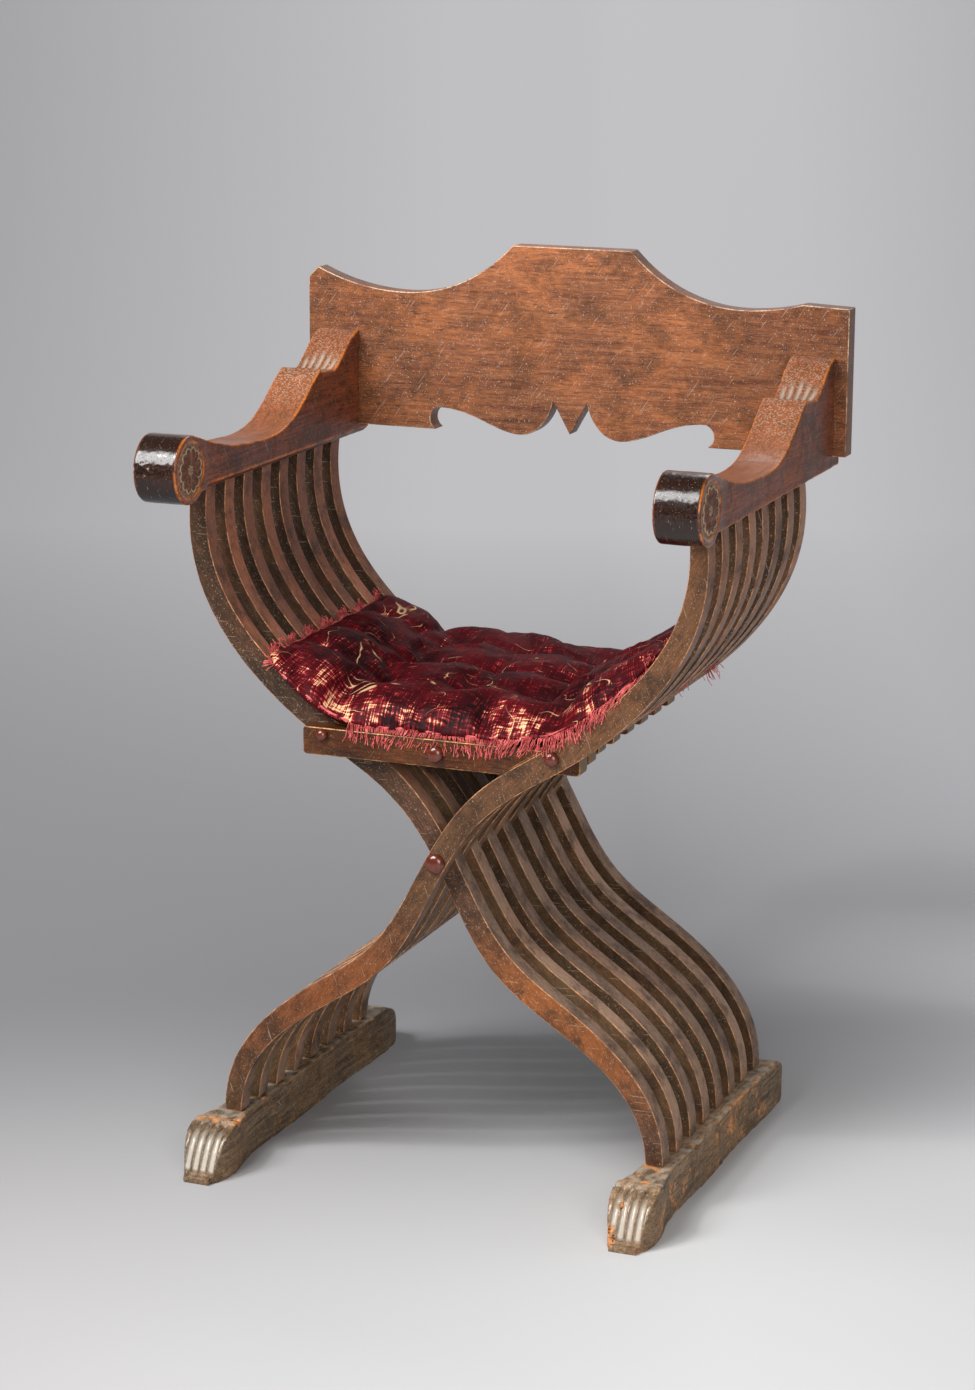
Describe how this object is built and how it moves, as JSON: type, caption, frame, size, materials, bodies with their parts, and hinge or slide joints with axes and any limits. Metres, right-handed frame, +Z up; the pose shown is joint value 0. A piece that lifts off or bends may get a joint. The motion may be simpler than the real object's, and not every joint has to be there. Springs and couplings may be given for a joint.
{
  "type": "savonarola chair",
  "caption": "Folding X-frame armchair of interleaved S-curved walnut staves on lion-paw runner feet, with scrolled arms, a shaped loose back board and a velvet squab.",
  "frame": {"origin": "on the floor, at the middle of the chair's width and depth", "axes": "+Z up, +Y to the chair's back, +X to the right as seen from the front"},
  "size_m": [0.598, 0.492, 0.9],
  "materials": {
    "arm_walnut": "dark glossy polished walnut, worn edges",
    "board_walnut": "satin reddish-brown walnut",
    "stave_walnut": "dull brown walnut, worn arrises",
    "slat_walnut": "dull brown walnut",
    "foot_walnut": "dry dark walnut with bare orange patches",
    "peg_wood": "reddish turned peg heads",
    "pin_wood": "plain turned rod",
    "velvet": "worn crimson velvet with straw-coloured bare patches"
  },
  "bodies": {
    "crossing_pivot": {"crossing_pin": "pin_wood", "crossing_pin_front_head": "peg_wood", "crossing_pin_back_head": "peg_wood"},
    "right_frame": {"right_arm": "arm_walnut", "right_arm_stave_1": "stave_walnut", "right_arm_stave_2": "stave_walnut", "right_arm_stave_3": "stave_walnut", "right_arm_stave_4": "stave_walnut", "right_arm_stave_5": "stave_walnut", "right_arm_stave_6": "stave_walnut", "right_arm_stave_7": "stave_walnut", "right_arm_stave_8": "stave_walnut", "left_foot": "foot_walnut", "right_seat_rod": "pin_wood", "right_seat_rod_front_head": "peg_wood", "right_seat_rod_back_head": "peg_wood"},
    "left_frame": {"left_arm": "arm_walnut", "left_arm_stave_1": "stave_walnut", "left_arm_stave_2": "stave_walnut", "left_arm_stave_3": "stave_walnut", "left_arm_stave_4": "stave_walnut", "left_arm_stave_5": "stave_walnut", "left_arm_stave_6": "stave_walnut", "left_arm_stave_7": "stave_walnut", "left_arm_stave_8": "stave_walnut", "right_foot": "foot_walnut", "left_seat_rod": "pin_wood", "left_seat_rod_front_head": "peg_wood", "left_seat_rod_back_head": "peg_wood"},
    "left_seat_slats": {"left_seat_slat_1": "slat_walnut", "left_seat_slat_2": "slat_walnut", "left_seat_slat_3": "slat_walnut", "left_seat_slat_4": "slat_walnut", "left_seat_slat_5": "slat_walnut", "left_seat_slat_6": "slat_walnut", "left_seat_slat_7": "slat_walnut", "left_seat_slat_8": "slat_walnut", "left_slat_centre_pin": "pin_wood", "centre_pin_front_head": "peg_wood"},
    "right_seat_slats": {"right_seat_slat_1": "slat_walnut", "right_seat_slat_2": "slat_walnut", "right_seat_slat_3": "slat_walnut", "right_seat_slat_4": "slat_walnut", "right_seat_slat_5": "slat_walnut", "right_seat_slat_6": "slat_walnut", "right_seat_slat_7": "slat_walnut", "right_seat_slat_8": "slat_walnut", "right_slat_centre_pin": "pin_wood", "centre_pin_back_head": "peg_wood"},
    "back_board": {"back_board": "board_walnut"},
    "squab_cushion": {"squab_cushion": "velvet"}
  },
  "joints": [
    {"name": "left_fold", "type": "hinge", "parent": "crossing_pivot", "child": "left_frame", "pos_m": [0, 0, 0.338], "axis": [0, 1, 0], "range_deg": [0, 27]},
    {"name": "right_fold", "type": "hinge", "parent": "crossing_pivot", "child": "right_frame", "pos_m": [0, 0, 0.338], "axis": [0, -1, 0], "range_deg": [0, 27]},
    {"name": "left_slats_rise", "type": "hinge", "parent": "left_frame", "child": "left_seat_slats", "pos_m": [-0.11998, 0, 0.4556], "axis": [0, -1, 0], "range_deg": [0, 94]},
    {"name": "right_slats_rise", "type": "hinge", "parent": "right_frame", "child": "right_seat_slats", "pos_m": [0.11998, 0, 0.4556], "axis": [0, 1, 0], "range_deg": [0, 94]},
    {"name": "back_board_lift", "type": "slide", "parent": "crossing_pivot", "child": "back_board", "axis": [0, 0, 1], "range_m": [0, 0.22148]},
    {"name": "squab_take_off", "type": "slide", "parent": "crossing_pivot", "child": "squab_cushion", "axis": [0, -0.9522, 0.3056], "range_m": [0, 1.60354]}
  ],
  "couplings": [
    {"joint": "right_fold", "follows": "left_fold", "ratio": 1},
    {"joint": "left_slats_rise", "follows": "left_fold", "ratio": 3.4815},
    {"joint": "right_slats_rise", "follows": "left_fold", "ratio": 3.4815},
    {"joint": "back_board_lift", "follows": "left_fold", "m_per_rad": 0.4699},
    {"joint": "squab_take_off", "follows": "left_fold", "m_per_rad": 3.4027}
  ]
}
